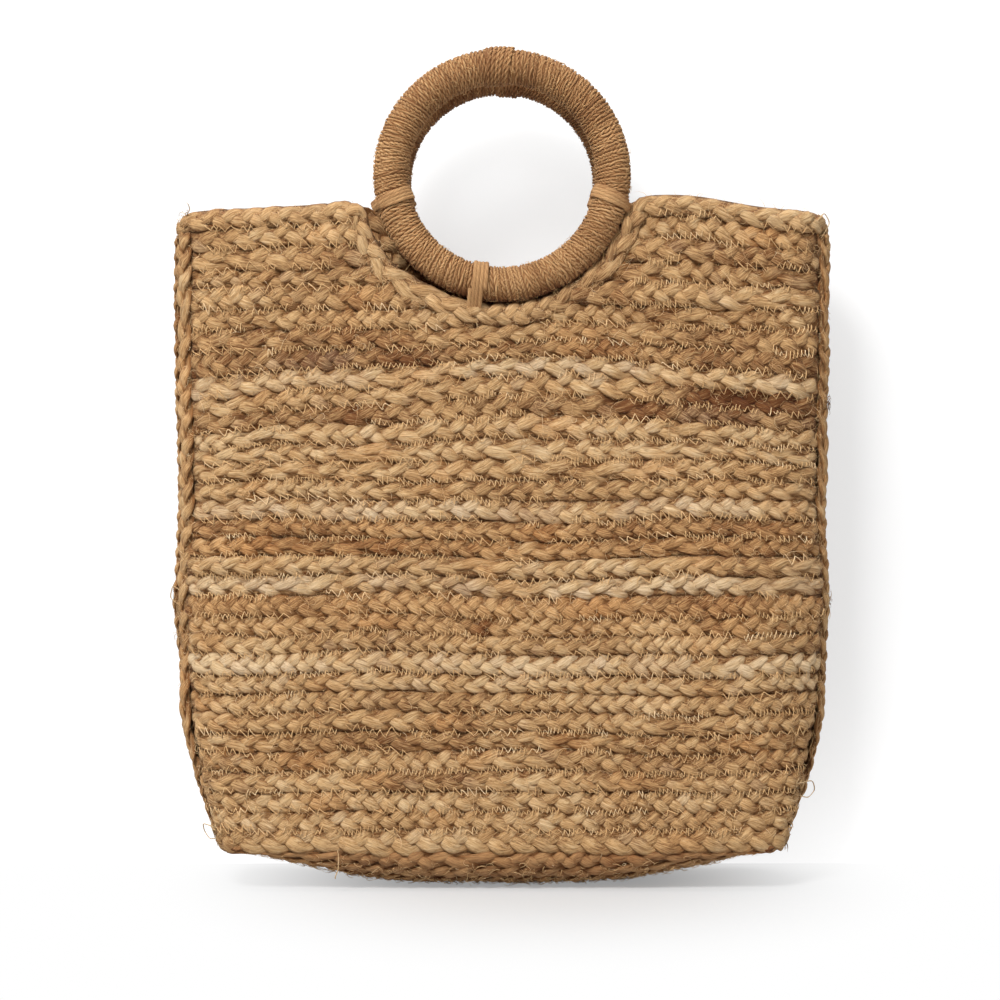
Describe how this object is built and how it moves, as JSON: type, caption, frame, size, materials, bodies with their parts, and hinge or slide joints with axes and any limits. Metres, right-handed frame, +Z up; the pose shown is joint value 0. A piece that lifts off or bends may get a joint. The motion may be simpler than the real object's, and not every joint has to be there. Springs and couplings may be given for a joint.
{
  "type": "jute tote bag",
  "caption": "Upright open tote bag of flat jute braids sewn row on row, with a round hand notch in each panel that holds a twine-wound hoop handle.",
  "frame": {"origin": "on the floor under the middle of the bag, at the bottom centre of the object's box", "axes": "+Z up from the base to the handles, +X to the right along the panels, -Y out of the front panel"},
  "size_m": [0.4, 0.0904, 0.5084],
  "materials": {
    "jute_braid": "matte",
    "rim_braid": "matte",
    "base_braid": "matte",
    "twine": "matte",
    "hoop_cane": "satin"
  },
  "bodies": {
    "bag": {"back_bottom_edge_braid": "jute_braid", "back_braid_rows_02_03": "jute_braid", "back_braid_rows_04_05": "jute_braid", "back_braid_rows_06_07": "jute_braid", "back_braid_rows_08_09": "jute_braid", "back_braid_rows_10_11": "jute_braid", "back_braid_rows_12_13": "jute_braid", "back_braid_rows_14_15": "jute_braid", "back_braid_rows_16_17": "jute_braid", "back_braid_rows_18_19": "jute_braid", "back_braid_rows_20_21": "jute_braid", "back_braid_rows_22_23": "jute_braid", "back_braid_rows_24_25": "jute_braid", "back_braid_rows_26_27": "jute_braid", "back_left_shoulder_rows": "jute_braid", "back_right_shoulder_rows": "jute_braid", "back_rim_braid": "rim_braid", "base_back_inner_rows": "base_braid", "base_back_outer_rows": "base_braid", "base_centre_rows": "base_braid", "base_front_inner_rows": "base_braid", "base_front_outer_rows": "base_braid", "front_bottom_edge_braid": "jute_braid", "front_braid_rows_02_03": "jute_braid", "front_braid_rows_04_05": "jute_braid", "front_braid_rows_06_07": "jute_braid", "front_braid_rows_08_09": "jute_braid", "front_braid_rows_10_11": "jute_braid", "front_braid_rows_12_13": "jute_braid", "front_braid_rows_14_15": "jute_braid", "front_braid_rows_16_17": "jute_braid", "front_braid_rows_18_19": "jute_braid", "front_braid_rows_20_21": "jute_braid", "front_braid_rows_22_23": "jute_braid", "front_braid_rows_24_25": "jute_braid", "front_braid_rows_26_27": "jute_braid", "front_left_shoulder_rows": "jute_braid", "front_right_shoulder_rows": "jute_braid", "front_rim_braid": "rim_braid", "left_gusset_back_braid": "jute_braid", "left_gusset_front_braid": "jute_braid", "left_gusset_middle_braid": "jute_braid", "right_gusset_back_braid": "jute_braid", "right_gusset_front_braid": "jute_braid", "right_gusset_middle_braid": "jute_braid"},
    "front_handle": {"front_handle_hoop_core": "hoop_cane", "front_handle_twine_winding": "twine", "front_handle_twine_splice": "twine", "front_left_lashing": "twine", "front_right_lashing": "twine", "front_bottom_lashing": "twine"},
    "back_handle": {"back_handle_hoop_core": "hoop_cane", "back_handle_twine_winding": "twine", "back_handle_twine_splice": "twine", "back_left_lashing": "twine", "back_right_lashing": "twine", "back_bottom_lashing": "twine"}
  },
  "joints": [
    {"name": "front_handle_rock", "type": "hinge", "parent": "bag", "child": "front_handle", "pos_m": [0, -0.018, 0.414], "axis": [1, 0, 0], "range_deg": [-3.8, 6]},
    {"name": "back_handle_rock", "type": "hinge", "parent": "bag", "child": "back_handle", "pos_m": [0, 0.018, 0.414], "axis": [-1, 0, 0], "range_deg": [-3.8, 6]}
  ]
}
